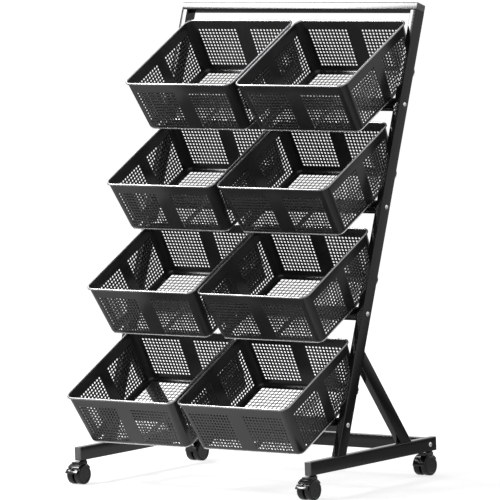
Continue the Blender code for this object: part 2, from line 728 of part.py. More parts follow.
def pedal_mesh():
    """Brake pedal about its pin: a pin through the lug and a plate that leaves room for the lug."""
    width = 2 * housing_half()
    slot = PEDAL_PIN_RADIUS + PEDAL_LUG_WALL + 2 * SEAT_GAP
    shape = bmesh.new()
    bmesh.ops.create_cube(shape, size=1)
    size = Matrix.Diagonal((width, PEDAL_LENGTH, PEDAL_THICKNESS, 1))
    bmesh.ops.transform(shape, matrix=size, verts=shape.verts)
    bmesh.ops.bevel(shape, geom=shape.edges[:], offset=PEDAL_ROUND, offset_type="OFFSET", segments=1,
                    profile=0.5, affect="EDGES", material=-1)
    bmesh.ops.translate(shape, vec=-REARWARD * PEDAL_LENGTH / 2, verts=shape.verts)
    draft = add_tool("pedal", mesh_from(shape, "pedal"))
    notch = Vector((WEB_THICKNESS + 4 * SEAT_GAP, 2 * slot, 2 * slot))
    cut(draft, add_tool("pedal_slot", box_mesh("pedal_slot", notch)))
    pin = rod_mesh("pedal_pin", PEDAL_PIN_RADIUS, width - 2 * PEDAL_ROUND, SMALL_STEPS, ALONG_AXLE)
    join(draft, add_tool("pedal_pin", pin))
    return finished_mesh(draft, "pedal")


def axle_length():
    """The axle ends just short of the bottom of each wheel's bore."""
    return 2 * (WEB_THICKNESS / 2 + WHEEL_SIDE_GAP + WHEEL_WIDTH - WHEEL_CAP - SEAT_GAP)


def build_caster(label, place, meshes, materials, braked):
    """One caster: its stem stays in the foot, the rest turns on it."""
    add_piece("caster_stem_" + label, meshes["stem"], materials["steel"], Matrix.Translation(place))
    swivel = bpy.data.objects.new("swivel_" + label, None)
    bpy.data.collections[PARTS].objects.link(swivel)
    swivel.location = place
    bpy.context.view_layer.update()
    axle = Vector((place.x, place.y - CASTER_TRAIL, WHEEL_RADIUS))
    housing = meshes["braked_housing"] if braked else meshes["housing"]
    add_piece("caster_housing_" + label, housing, materials["hood"], Matrix.Translation(axle), swivel)
    add_piece("caster_axle_" + label, meshes["axle"], materials["steel"],
              Matrix.Translation(axle) @ ALONG_AXLE, swivel)
    out = WEB_THICKNESS / 2 + WHEEL_SIDE_GAP + WHEEL_WIDTH / 2
    for side, side_name in SIDES:
        centre = axle + ACROSS * side * out
        matrix = placing(centre, REARWARD, UPWARD) if side > 0 else placing(centre, UPWARD, REARWARD)
        place_name = "outer" if side * place.x > 0 else "inner"
        add_piece("wheel_" + label + "_" + place_name, meshes["wheel"], materials["wheel"], matrix, swivel)
    if braked:
        matrix = Matrix.Translation(axle + pedal_pivot()) @ Matrix.Rotation(PEDAL_SLOPE, 4, "X")
        add_piece("brake_pedal_" + label, meshes["pedal"], materials["hood"], matrix, swivel)


def build_casters():
    """Four casters; the two in front have brake pedals."""
    meshes = {
        "stem": stem_mesh(),
        "wheel": wheel_mesh(),
        "housing": housing_mesh("housing", HOOD_FRONT_ANGLE, braked=False),
        "braked_housing": housing_mesh("braked_housing", BRAKED_FRONT_ANGLE, braked=True),
        "pedal": pedal_mesh(),
        "axle": rod_mesh("axle", AXLE_RADIUS, axle_length(), SMALL_STEPS),
    }
    smooth(meshes["axle"])
    materials = {"steel": bright_steel(), "hood": hood_plastic(), "wheel": wheel_plastic()}
    for side, side_name in SIDES:
        for end, place in caster_places(side).items():
            build_caster(end + "_" + side_name, place, meshes, materials, braked=end == "front")


def build_frame():
    """Side frames, top bar, crossbars, their bolts and the plugs in the open ends."""
    coat = powder_coat()
    plug_material = plug_plastic()
    bolt_material = zinc()
    plug = plug_mesh()
    bolt = bolt_mesh()
    foot_trim = under_foot_top_tool()
    post_trim = before_post_back_tool()
    tier_tool = bolt_holes_tool("tier_bolt_holes", [bar_middle(tier) for tier in range(TIER_COUNT)])
    rear_tool = bolt_holes_tool("rear_bolt_hole", [REAR_BAR_MIDDLE])
    for side, side_name in SIDES:
        build_upright(side, "upright_" + side_name, coat, foot_trim, tier_tool)
        build_foot(side, "foot_" + side_name, coat, rear_tool)
        build_brace(side, "brace_" + side_name, coat, foot_trim, post_trim)
        build_foot_plugs(side, side_name, plug, plug_material)
    build_top_bar(coat)
    build_top_plugs(plug, plug_material)
    for tier in range(TIER_COUNT):
        matrix = placing(bar_middle(tier), TRAY_UP, TRAY_BACK)
        build_crossbar("tier_bar_" + str(tier + 1), matrix, coat, tier_tool)
        build_bolts("tier_bolt_" + str(tier + 1), bar_middle(tier), bolt, bolt_material)
    build_crossbar("rear_bar", placing(REAR_BAR_MIDDLE, REARWARD, UPWARD), coat, rear_tool)
    build_bolts("rear_bolt", REAR_BAR_MIDDLE, bolt, bolt_material)


def main():
    clear_scene()
    make_collection(PARTS)
    make_collection(CUTTERS)
    build_frame()
    build_trays(tray_coat())
    build_casters()


main()
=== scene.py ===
import json
import math

import bmesh
import bpy
from mathutils import Matrix, Vector

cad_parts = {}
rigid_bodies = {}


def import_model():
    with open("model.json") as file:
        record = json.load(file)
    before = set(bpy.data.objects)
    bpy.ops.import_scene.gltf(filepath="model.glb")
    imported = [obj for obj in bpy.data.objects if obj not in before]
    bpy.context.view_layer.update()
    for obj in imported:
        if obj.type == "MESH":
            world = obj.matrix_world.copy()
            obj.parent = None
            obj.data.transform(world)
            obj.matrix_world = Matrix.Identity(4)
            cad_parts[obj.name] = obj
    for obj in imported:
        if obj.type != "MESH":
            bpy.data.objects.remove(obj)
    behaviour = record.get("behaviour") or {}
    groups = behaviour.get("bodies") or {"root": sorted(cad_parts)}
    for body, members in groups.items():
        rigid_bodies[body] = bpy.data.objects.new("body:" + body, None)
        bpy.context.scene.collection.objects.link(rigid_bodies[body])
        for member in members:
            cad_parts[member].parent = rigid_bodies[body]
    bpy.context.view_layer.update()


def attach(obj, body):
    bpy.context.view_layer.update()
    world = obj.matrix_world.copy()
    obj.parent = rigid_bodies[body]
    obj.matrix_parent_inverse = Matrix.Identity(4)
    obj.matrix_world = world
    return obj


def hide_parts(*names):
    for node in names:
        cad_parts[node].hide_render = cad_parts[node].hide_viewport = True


for leftover in list(bpy.data.objects):
    bpy.data.objects.remove(leftover)
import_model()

# Side frames: on each side a leaning post stands on a level foot, with a sloping brace behind it.
# All three are 20 by 35 mm rectangular steel tube with rolled edges, cut square or mitred, welded
# and powder coated black. The coat is glossy, with a faint orange peel.
ACROSS = Vector((1, 0, 0))
REARWARD = Vector((0, 1, 0))
UPWARD = Vector((0, 0, 1))
SIDES = ((-1, "left"), (1, "right"))
tube_face = 0.020
tube_side = 0.035
tube_corner = 0.0025
tube_corner_steps = 6
seat_gap = 0.0003
rack_width = 0.758
rack_height = 1.200
lean = math.radians(19.9)
brace_angle = math.radians(53.6)
caster_height = 0.060
foot_length = 0.528
foot_front = -0.2444297
foot_top = caster_height + tube_side
side_x = rack_width / 2 - tube_face / 2
post_setback = 0.1115
brace_reach = 0.423
sawing_spare = 4 * tube_side
up_post = Vector((0, math.sin(lean), math.cos(lean)))
through_post = Vector((0, math.cos(lean), -math.sin(lean)))
up_brace = Vector((0, -math.cos(brace_angle), math.sin(brace_angle)))
behind_brace = Vector((0, math.sin(brace_angle), math.cos(brace_angle)))
post_foot = Vector((0, foot_front + post_setback, foot_top))
plug_flange = 0.002


class Value:
    """An output of a node; a sum written with it adds the Math nodes it needs."""

    def __init__(self, finish, socket):
        self.finish = finish
        self.socket = socket

    def maths(self, operation, *terms):
        return self.finish.node("Math", {"operation": operation}, dict(enumerate(terms)))

    def __add__(self, other):
        return self.maths("ADD", self, other)

    def __sub__(self, other):
        return self.maths("SUBTRACT", self, other)

    def __rsub__(self, other):
        return self.maths("SUBTRACT", other, self)

    def __mul__(self, other):
        return self.maths("MULTIPLY", self, other)

    __radd__ = __add__
    __rmul__ = __mul__

    def brighter(self, other):
        """The greater of two values."""
        return self.maths("MAXIMUM", self, other)


class Finish:
    """A material round one Principled shader, whose other nodes are all made by node()."""

    def __init__(self, name, colour, roughness, metallic=0.0):
        self.material = bpy.data.materials.new(name)
        self.material.use_nodes = True
        self.material.diffuse_color = (*colour, 1)
        self.tree = self.material.node_tree
        self.shader = self.tree.nodes["Principled BSDF"]
        self.set("Base Color", (*colour, 1))
        self.set("Roughness", roughness)
        self.set("Metallic", metallic)
        self.place = self.node("TexCoord", {}, {}, "Object")

    def node(self, kind, settings, values, output=0):
        """Add a node: first its settings, then the values or links of its sockets."""
        made = self.tree.nodes.new("ShaderNode" + kind)
        for key, setting in settings.items():
            if key == "stops":
                for stop, (position, shade) in zip(made.color_ramp.elements, setting):
                    stop.position = position
                    stop.color = (shade, shade, shade, 1)
            else:
                setattr(made, key, setting)
        for key, value in values.items():
            if isinstance(value, Value):
                self.tree.links.new(value.socket, made.inputs[key])
            else:
                made.inputs[key].default_value = value
        return Value(self, made.outputs[output])

    def set(self, key, value):
        """Give a socket of the shader a value or a link."""
        if isinstance(value, Value):
            self.tree.links.new(value.socket, self.shader.inputs[key])
        else:
            self.shader.inputs[key].default_value = value

    def noise(self, scale, detail=2.0, roughness=0.5, stretch=(1, 1, 1)):
        """Noise from 0 to 1 over the place on the piece; scale counts per metre."""
        place = self.node("Mapping", {}, {"Vector": self.place, "Scale": stretch}, "Vector")
        return self.node("TexNoise", {}, {"Vector": place, "Scale": scale, "Detail": detail,
                                          "Roughness": roughness}, "Fac")

    def ramp(self, value, low, high):
        """The value spread from 0 at low to 1 at high."""
        return self.node("ValToRGB", {"stops": ((low, 0), (high, 1))}, {"Fac": value}, "Color")

    def blend(self, mask, first, second):
        """The first colour where the mask is 0, the second where it is 1."""
        return self.node("Mix", {"data_type": "RGBA"}, {0: mask, 6: (*first, 1), 7: (*second, 1)}, 2)

    def bump(self, height, depth):
        """Raise the surface by a height from 0 to 1, times a depth in metres."""
        normal = self.node("Bump", {}, {"Height": height, "Distance": depth, "Strength": 1.0}, "Normal")
        self.set("Normal", normal)


def powder_coat(name, colour, worn, roughness, peel, refraction):
    """Baked powder coat: slow changes of tone and gloss over a fine orange peel."""
    finish = Finish(name, colour, roughness)
    cloud = finish.noise(scale=9.0, detail=3.0)
    fine = finish.noise(scale=140.0, detail=3.0)
    tone = finish.ramp(cloud * 0.7 + fine * 0.3, low=0.35, high=0.75)
    finish.set("Base Color", finish.blend(tone, colour, worn))
    finish.set("Roughness", cloud * 0.05 + fine * 0.04 + (roughness - 0.045))
    finish.bump(finish.noise(scale=480.0, detail=1.0), peel)
    finish.set("IOR", refraction)
    return finish.material


frame_coat = powder_coat("frame_powder_coat", (0.008, 0.008, 0.009), (0.012, 0.012, 0.013),
                         roughness=0.14, peel=0.000003, refraction=1.42)


def placing(origin, x_axis, y_axis):
    """Matrix of a shape at origin, with its own X and Y along the two directions."""
    turn = Matrix((x_axis, y_axis, x_axis.cross(y_axis))).transposed().to_4x4()
    return Matrix.Translation(origin) @ turn


def add_piece(name, shape, material, slot, *nodes, body="rack_frame", sharp=math.radians(35)):
    """Make a finished shape a shown piece that rides on a body and stands for the CAD nodes."""
    mesh = bpy.data.meshes.new(name)
    shape.to_mesh(mesh)
    shape.free()
    mesh.materials.append(material)
    mesh.shade_smooth()
    mesh.set_sharp_from_angle(angle=sharp)
    piece = bpy.data.objects.new(name, mesh)
    bpy.context.scene.collection.objects.link(piece)
    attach(piece, body)
    if nodes:
        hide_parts(*nodes)
    return piece


def put(shape, matrix):
    """Move a whole shape by a matrix."""
    bmesh.ops.transform(shape, matrix=matrix, verts=shape.verts)


def block(size, matrix=Matrix()):
    """Bmesh of a box of a size, placed by a matrix."""
    shape = bmesh.new()
    bmesh.ops.create_cube(shape, size=1, matrix=matrix @ Matrix.Diagonal((*size, 1)))
    return shape


def upright_edges(shape, least):
    """Edges that rise by more than a least height."""
    return [edge for edge in shape.edges if abs(edge.verts[0].co.z - edge.verts[1].co.z) > least]


def round_edges(shape, edges, radius, steps):
    """Round some edges off to a radius."""
    bmesh.ops.bevel(shape, geom=edges, offset=radius, offset_type="OFFSET", segments=steps,
                    profile=0.5, affect="EDGES", material=-1)


def kind_of(items, kind):
    """The items of an operator's result that are of one kind."""
    return [item for item in items if isinstance(item, kind)]


def saw_off(shape, point, outward):
    """Cut away what lies beyond a plane and close the cut."""
    cut = bmesh.ops.bisect_plane(shape, geom=shape.verts[:] + shape.edges[:] + shape.faces[:],
                                 plane_co=point, plane_no=outward, clear_outer=True)
    bmesh.ops.edgenet_fill(shape, edges=kind_of(cut["geom_cut"], bmesh.types.BMEdge))


def add_tube(name, node, length, matrix, *cuts):
    """Add a length of the frame's tube, face along X and side along Y, sawn off at some planes."""
    shape = block((tube_face, tube_side, length))
    round_edges(shape, upright_edges(shape, length / 2), tube_corner, tube_corner_steps)
    put(shape, matrix)
    for point, outward in cuts:
        saw_off(shape, point, outward)
    add_piece(name, shape, frame_coat, "frame_black", node)


post_length = (rack_height - foot_top) / math.cos(lean) - tube_face - seat_gap
brace_start = Vector((0, foot_front + brace_reach, foot_top))
brace_run = ((brace_start - post_foot).dot(through_post) - tube_side) / -up_brace.dot(through_post)
foot_run = foot_length - 2 * (plug_flange + seat_gap)
foot_cut = (Vector((0, 0, foot_top + seat_gap)), -UPWARD)
post_cut = (post_foot + through_post * (tube_side + seat_gap), -through_post)
for side, side_name in SIDES:
    across = ACROSS * side * side_x
    middle = post_foot + up_post * post_length / 2 + through_post * tube_side / 2 + across
    add_tube("post_" + side_name, "upright_" + side_name, post_length,
             placing(middle, -ACROSS, through_post), foot_cut)
    middle = Vector((0, foot_front + foot_length / 2, caster_height + tube_side / 2)) + across
    add_tube("foot_tube_" + side_name, "foot_" + side_name, foot_run, placing(middle, ACROSS, -UPWARD))
    middle = brace_start + up_brace * brace_run / 2 - behind_brace * tube_side / 2 + across
    add_tube("brace_tube_" + side_name, "brace_" + side_name, brace_run + sawing_spare,
             placing(middle, -ACROSS, behind_brace), foot_cut, post_cut)

# Top bar: the same tube laid across the upper ends of the posts and welded to them.
# Its 20 mm face looks forward and leans back with the posts.
top_bar_middle = post_foot + up_post * (post_length + seat_gap + tube_face / 2) + through_post * tube_side / 2
top_bar_run = rack_width - 2 * (plug_flange + seat_gap)
add_tube("top_bar_tube", "top_bar", top_bar_run, placing(top_bar_middle, up_post, through_post))

# Crossbars: a bar under each pair of trays, parallel to their bottoms, and one between the rear
# ends of the feet. They are the same tube, closed by an end plate that takes a bolt.
tray_tilt = math.radians(27.9)
tray_back = Vector((0, math.cos(tray_tilt), math.sin(tray_tilt)))
tray_up = Vector((0, -math.sin(tray_tilt), math.cos(tray_tilt)))
lowest_bar = 0.084
lowest_pitch = 0.285
pitch_step = 0.0092
tier_count = 4
rear_bar_inset = 0.029
bar_run = rack_width - 2 * tube_face - 2 * seat_gap


def bar_middle(tier):
    """Middle of a tier's crossbar; the tiers come closer together higher up."""
    along = lowest_bar + tier * lowest_pitch - pitch_step * tier * (tier - 1) / 2
    return post_foot + up_post * along + through_post * tube_side / 2


for tier in range(tier_count):
    number = str(tier + 1)
    add_tube("crossbar_" + number, "tier_bar_" + number, bar_run,
             placing(bar_middle(tier), tray_up, tray_back))
rear_bar_middle = Vector((0, foot_front + foot_length - rear_bar_inset, caster_height + tube_side / 2))
add_tube("rear_crossbar", "rear_bar", bar_run, placing(rear_bar_middle, REARWARD, UPWARD))

# Weld beads: short fillets across the tube where post, brace, foot and top bar meet.
# Each is a row of small ripples under the same black coat.
bead_radius = 0.0019
bead_end = 0.6
bead_length = tube_face - 2 * tube_corner
bead_ripples = 9
bead_facets = 10
bead_swell = 1.16


def edges_among(edges, verts):
    """The edges that have both their ends among some corners."""
    return [edge for edge in edges if all(vert in verts for vert in edge.verts)]


def grow(shape, edges):
    """Extrude edges in place, and give the new corners and the new edges."""
    grown = bmesh.ops.extrude_edge_only(shape, edges=edges)["geom"]
    verts = kind_of(grown, bmesh.types.BMVert)
    return verts, edges_among(kind_of(grown, bmesh.types.BMEdge), verts)


def add_bead(shape, place):
    """Weld bead along X about a place, closed at both ends."""
    ring = bmesh.ops.create_circle(
        shape, segments=bead_facets, radius=bead_radius * bead_end,
        matrix=placing(place - ACROSS * bead_length / 2, REARWARD, UPWARD))["verts"]
    edges = list({edge for vert in ring for edge in vert.link_edges})
    bmesh.ops.contextual_create(shape, geom=edges)
    for step in range(2 * bead_ripples):
        ring, edges = grow(shape, edges)
        bmesh.ops.translate(shape, verts=ring, vec=ACROSS * bead_length / (2 * bead_ripples))
        centre = sum((vert.co for vert in ring), Vector()) / len(ring)
        swell = bead_swell if step % 2 == 0 else 1 / bead_swell
        if step == 0:
            swell = 1 / bead_end
        elif step == 2 * bead_ripples - 1:
            swell = bead_end
        bmesh.ops.scale(shape, vec=(1, swell, swell), space=Matrix.Translation(-centre), verts=ring)
    bmesh.ops.contextual_create(shape, geom=edges)


brace_back_top = brace_start + up_brace * brace_run
brace_front_bottom = brace_start - REARWARD * tube_side / math.sin(brace_angle)
brace_front_top = post_foot + through_post * tube_side + up_post * (
    (brace_back_top - post_foot).dot(up_post) - tube_side / math.cos(brace_angle + lean - math.pi / 2))
post_back_bottom = post_foot + REARWARD * tube_side / math.cos(lean)
bead_places = [
    post_foot,
    post_back_bottom,
    brace_start,
    brace_front_bottom,
    brace_back_top,
    brace_front_top,
    post_foot + up_post * post_length + through_post * tube_side,
]
for side, side_name in SIDES:
    beads = bmesh.new()
    for place in bead_places:
        add_bead(beads, place + ACROSS * side * side_x)
    bmesh.ops.recalc_face_normals(beads, faces=beads.faces)
    add_piece("weld_beads_" + side_name, beads, frame_coat, "frame_black", sharp=math.pi)

# End plugs: pressed into the open ends of the feet and of the top bar.
# Dark polyethylene, with a sloped border round the flange and a shallow sunk panel in it.
plug_slope_run = 0.0023
plug_slope_drop = 0.0016
plug_depth = 0.011
plug_panel_inset = 0.0012
plug_panel_depth = 0.0005
plastic_refraction = 1.45
tube_wall = 0.0015


def moulded_plastic(name, colour, scuffed, roughness, grain, grain_scale):
    """Moulded plastic: a fine grain, soft flow marks and a little scuffing."""
    finish = Finish(name, colour, roughness)
    flow = finish.noise(scale=35.0, stretch=(1, 1, 0.3))
    scuffs = finish.ramp(finish.noise(scale=220.0, detail=4.0, roughness=0.7), low=0.62, high=0.8)
    finish.set("Base Color", finish.blend(scuffs * 0.6 + flow * 0.3, colour, scuffed))
    finish.set("Roughness", flow * 0.08 + scuffs * 0.10 + (roughness - 0.04))
    finish.bump(finish.noise(grain_scale), grain)
    finish.set("IOR", plastic_refraction)
    return finish.material


plug_plastic = moulded_plastic("plug_plastic", (0.175, 0.175, 0.177), (0.20, 0.20, 0.202),
                               roughness=0.22, grain=0.00002, grain_scale=1500.0)


def top_face(shape):
    """The face whose middle lies highest."""
    return max(shape.faces, key=lambda face: face.calc_center_median().z)


def plug_shape(matrix):
    """Plug with its flange on +Z and its body inside the tube."""
    shape = block((tube_face, tube_side, plug_flange), Matrix.Translation(UPWARD * plug_flange / 2))
    round_edges(shape, upright_edges(shape, plug_flange / 2), tube_corner, tube_corner_steps)
    top = top_face(shape)
    slope = bmesh.ops.inset_region(shape, faces=[top], thickness=plug_slope_run)["faces"]
    border = {vert for face in slope for vert in face.verts} - set(top.verts)
    bmesh.ops.translate(shape, vec=-UPWARD * plug_slope_drop, verts=list(border))
    bmesh.ops.inset_region(shape, faces=[top], thickness=plug_panel_inset)
    bmesh.ops.inset_region(shape, faces=[top], thickness=plug_panel_depth, depth=-plug_panel_depth)
    base = min(shape.faces, key=lambda face: face.calc_center_median().z - face.calc_area())
    bmesh.ops.inset_region(shape, faces=[base], thickness=tube_wall + seat_gap)
    grown = bmesh.ops.extrude_face_region(shape, geom=[base])["geom"]
    bmesh.ops.translate(shape, vec=-UPWARD * (plug_depth - plug_flange / 2),
                        verts=kind_of(grown, bmesh.types.BMVert))
    bmesh.ops.delete(shape, geom=[base], context="FACES_ONLY")
    put(shape, matrix)
    bmesh.ops.recalc_face_normals(shape, faces=shape.faces)
    return shape


for side, side_name in SIDES:
    front_end = Vector((side * side_x, foot_front + plug_flange, caster_height + tube_side / 2))
    rear_end = front_end + REARWARD * (foot_length - 2 * plug_flange)
    bar_end = top_bar_middle + ACROSS * side * (rack_width / 2 - plug_flange)
    for name, node, matrix in (
            ("front_foot_plug_", "foot_plug_front_", placing(front_end, ACROSS, UPWARD)),
            ("rear_foot_plug_", "foot_plug_rear_", placing(rear_end, ACROSS, -UPWARD)),
            ("top_bar_plug_", "top_plug_", placing(bar_end, up_post, -side * through_post))):
        add_piece(name + side_name, plug_shape(matrix), plug_plastic, "plug_black", node + side_name)

# Bolts: a zinc-plated button-head bolt through each side frame into the end of each crossbar.
# The low round head has a hexagon socket for the key.
bolt_radius = 0.003
head_radius = 0.006
head_height = 0.0032
head_skirt = 0.0006
socket_radius = 0.0021
socket_depth = 0.0016
socket_land = 1.25
bolt_grip = 0.009
bolt_length = tube_face + 2 * seat_gap + bolt_grip
bolt_facets = 32
dome_steps = 7
weld_distance = 0.000001


def plated_steel(name, colour, dull, roughness, turning):
    """Plated steel: fine cloudy plating and faint tool marks."""
    finish = Finish(name, colour, roughness, 1.0)
    cloud = finish.noise(scale=260.0, detail=3.0, roughness=0.6)
    marks = finish.noise(scale=900.0, stretch=(0.12, 1, 1))
    finish.set("Base Color", finish.blend(finish.ramp(cloud, low=0.3, high=0.75), colour, dull))
    finish.set("Roughness", cloud * 0.14 + marks * 0.06 + (roughness - 0.09))
    finish.bump(marks, turning)
    return finish.material


zinc_plate = plated_steel("zinc_plate", (0.80, 0.80, 0.79), (0.58, 0.59, 0.61),
                          roughness=0.26, turning=0.000012)


def turned(profile, facets):
    """Bmesh of an open profile of (radius, height) points turned about Z."""
    shape = bmesh.new()
    verts = [shape.verts.new((radius, 0, height)) for radius, height in profile]
    edges = [shape.edges.new(pair) for pair in zip(verts, verts[1:])]
    bmesh.ops.spin(shape, geom=verts + edges, cent=(0, 0, 0), axis=(0, 0, 1), angle=2 * math.pi,
                   steps=facets, use_merge=True)
    bmesh.ops.remove_doubles(shape, verts=shape.verts, dist=weld_distance)
    bmesh.ops.recalc_face_normals(shape, faces=shape.faces)
    return shape


def button_head(length, matrix):
    """Button-head screw of a length along -Z, its head's underside at Z = 0."""
    rise = head_height - head_skirt
    flat = socket_radius * socket_land
    profile = [(flat, head_height)]
    for step in range(1, dome_steps + 1):
        share = step / dome_steps
        profile.append((flat + (head_radius - flat) * math.sin(share * math.pi / 2),
                        head_height - rise * (1 - math.cos(share * math.pi / 2))))
    profile += [(head_radius, 0), (bolt_radius, 0), (bolt_radius, -length), (0, -length)]
    shape = turned(profile, bolt_facets)
    ring = [edge for edge in shape.edges if edge.is_boundary]
    hexagon = bmesh.ops.create_circle(shape, segments=6, radius=socket_radius,
                                      matrix=Matrix.Translation(UPWARD * head_height))["verts"]
    sides = edges_among(shape.edges, hexagon)
    bmesh.ops.bridge_loops(shape, edges=ring + sides)
    low, _ = grow(shape, sides)
    bmesh.ops.translate(shape, vec=-UPWARD * socket_depth, verts=low)
    bmesh.ops.contextual_create(shape, geom=low)
    bmesh.ops.recalc_face_normals(shape, faces=shape.faces)
    put(shape, matrix)
    return shape


def facing_out(place, side):
    """Matrix of a turned shape whose top looks out to one side of the rack."""
    return placing(place, REARWARD, UPWARD) if side > 0 else placing(place, UPWARD, REARWARD)


bolt_reach = rack_width / 2 + seat_gap
bolted = [("tier_bolt_" + str(tier + 1), bar_middle(tier)) for tier in range(tier_count)]
bolted.append(("rear_bolt", rear_bar_middle))
for node, middle in bolted:
    for side, side_name in SIDES:
        label = node + "_" + side_name
        bolt = button_head(bolt_length, facing_out(middle + ACROSS * side * bolt_reach, side))
        add_piece("button_head_" + label, bolt, zinc_plate, "bolt_zinc", label)

# Trays: two on each tier. Each is drawn from thin steel sheet, with punched windows of round holes
# in its walls and of square ones in its bottom, plain bands between them, and a curled top edge.
tray_width = 0.3525
tray_depth = 0.317
tray_height = 0.146
tray_taper = 0.0105
tray_corner = 0.018
tray_corner_steps = 12
tray_edge = 0.009
tray_edge_steps = 7
tray_sheet = 0.0012
drawn_sheet = 0.0008
tray_forward = 0.0066
tray_gap = 0.0065
curl_radius = 0.00175
curl_turn = math.radians(262)
curl_steps = 9
hole_radius = 0.0026
hole_facets = 12
bottom_opening = 0.0104
bottom_facets = 4
front_columns = 13
rear_columns = 12
side_columns = 11
cell_edge_share = 0.9
flat_count = 5
square_on = 0.9
row_pitch = 0.00895
row_count = 12
first_row = 0.0325
end_strip = 0.0534
side_strip = 0.0430
column_margin = 0.0085
rear_first_row = 0.0275
cross_strip = 0.030
middle_strip = 0.016
bottom_margin = 0.005
bottom_columns = 11
bottom_rows = 9
half_x = tray_width / 2 - 2 * curl_radius - tray_sheet
half_y = tray_depth / 2 - 2 * curl_radius - tray_sheet
wall_run = math.hypot(tray_taper, tray_height)


def tray_shell():
    """Outer skin of a tray: tapered, with rounded upright corners and bottom edges, and no lid."""
    shape = block((2 * half_x, 2 * half_y, tray_height), Matrix.Translation(-UPWARD * tray_height / 2))
    low = [vert for vert in shape.verts if vert.co.z < -tray_height / 2]
    shrink = Matrix.Diagonal((1 - tray_taper / half_x, 1 - tray_taper / half_y, 1, 1))
    bmesh.ops.transform(shape, matrix=shrink, verts=low)
    bmesh.ops.delete(shape, geom=[top_face(shape)], context="FACES_ONLY")
    round_edges(shape, upright_edges(shape, tray_height / 2), tray_corner, tray_corner_steps)
    low_edges = [edge for edge in shape.edges if len(edge.link_faces) == 2
                 and all(vert.co.z < -tray_height + seat_gap for vert in edge.verts)]
    round_edges(shape, low_edges, tray_edge, tray_edge_steps)
    return shape


def outward(vert):
    """Level direction out of the tray at a point of its rim."""
    core_x, core_y = half_x - tray_corner, half_y - tray_corner
    x, y = vert.co.x, vert.co.y
    return Vector((x - max(-core_x, min(core_x, x)), y - max(-core_y, min(core_y, y)), 0)).normalized()


def curl_edge(shape):
    """Roll the top edge of the walls outwards and down, nearly round to the wall again."""
    edges = [edge for edge in shape.edges if edge.is_boundary]
    rim = list({vert for edge in edges for vert in edge.verts})
    bmesh.ops.translate(shape, vec=-UPWARD * curl_radius, verts=rim)
    ways = {vert: outward(vert) for vert in rim}
    start = {vert: vert.co.copy() for vert in rim}
    for step in range(1, curl_steps + 1):
        angle = curl_turn * step / curl_steps
        reach = curl_radius * (1 - math.cos(angle))
        rise = curl_radius * math.sin(angle)
        new, edges = grow(shape, edges)
        for edge in edges:
            # The curl's faces take the second material, whose bright metal is a painted highlight along the
            # rim.
            edge.link_faces[0].material_index = 1
        old = {vert: next(other for edge in vert.link_edges for other in edge.verts if other in ways)
               for vert in new}
        ways = {vert: ways[old[vert]] for vert in new}
        start = {vert: start[old[vert]] for vert in new}
        for vert in new:
            vert.co = start[vert] + ways[vert] * reach + UPWARD * rise


def punched_window(columns, width_top, width_bottom, rows, pitch, radius, facets):
    """Sheet with rows of holes, fanned from its top width to its bottom width.

    It spans X from 0 outwards and Y from 0 down to -rows * pitch, one square cell to a hole.
    """
    shape = bmesh.new()
    corner = bmesh.ops.create_circle(shape, segments=4, radius=pitch / math.sqrt(2),
                                     matrix=Matrix.Rotation(math.pi / 4, 4, "Z"))["verts"]
    square = edges_among(shape.edges, corner)
    hole = bmesh.ops.create_circle(shape, segments=facets, radius=radius,
                                   matrix=Matrix.Rotation(math.pi / facets, 4, "Z"))["verts"]
    bmesh.ops.bridge_loops(shape, edges=square + edges_among(shape.edges, hole))
    bmesh.ops.translate(shape, vec=(pitch / 2, -pitch / 2, 0), verts=shape.verts)
    for steps, way in ((columns - 1, ACROSS), (rows - 1, -REARWARD)):
        bmesh.ops.spin(shape, geom=shape.verts[:] + shape.edges[:] + shape.faces[:], cent=(0, 0, 0),
                       axis=(0, 0, 1), dvec=way * pitch, angle=0, steps=steps, use_duplicate=True)
        bmesh.ops.remove_doubles(shape, verts=shape.verts, dist=weld_distance)
    for vert in shape.verts:
        down = -vert.co.y / (rows * pitch)
        vert.co.x *= (width_top + (width_bottom - width_top) * down) / (columns * pitch)
    return shape


def punch_face(shape, face, matrix, windows):
    """Replace a flat face by one with punched windows; the matrix places their plane."""
    borders = list(face.edges)
    bmesh.ops.delete(shape, geom=[face], context="FACES_ONLY")
    for mirrored, offset, sizes in windows:
        window = punched_window(*sizes)
        pitch = sizes[4]
        if mirrored:
            bmesh.ops.scale(window, vec=(-1, 1, 1), verts=window.verts)
        put(window, matrix @ Matrix.Translation(offset))
        draft = bpy.data.meshes.new("window")
        window.to_mesh(draft)
        window.free()
        known = set(shape.edges)
        shape.from_mesh(draft)
        bpy.data.meshes.remove(draft)
        borders += [edge for edge in shape.edges if edge not in known and edge.is_boundary
                    and edge.calc_length() > pitch * cell_edge_share]
    bmesh.ops.triangle_fill(shape, edges=borders, use_beauty=True, use_dissolve=False)


def flat_faces(shape):
    """The large flat faces of the tray's skin, by the side they are on."""
    large = sorted(shape.faces, key=lambda face: face.calc_area())[-flat_count:]
    named = {}
    for face in large:
        normal = face.normal
        if abs(normal.z) > square_on:
            named["bottom"] = face
        elif abs(normal.y) > square_on:
            named["front" if face.calc_center_median().y < 0 else "rear"] = face
        else:
            named["left" if face.calc_center_median().x < 0 else "right"] = face
    return named


def wall_windows(half_wall, strip, columns, top):
    """The two windows of a wall, mirrored about its plain strip, with the fan of the taper."""
    slope = tray_taper / wall_run
    half_pitch = row_pitch / 2
    outer = half_wall - tray_corner - column_margin - slope * top
    outer_cells = (outer - strip / 2) * columns / (columns - 1)
    fall = slope * row_count * row_pitch
    sizes = (columns, outer_cells, outer_cells - fall, row_count, row_pitch, hole_radius, hole_facets)
    inner = (strip - outer_cells / columns) / 2
    return [(mirrored, Vector((-inner if mirrored else inner, half_pitch - top, 0)), sizes)
            for mirrored in (False, True)]


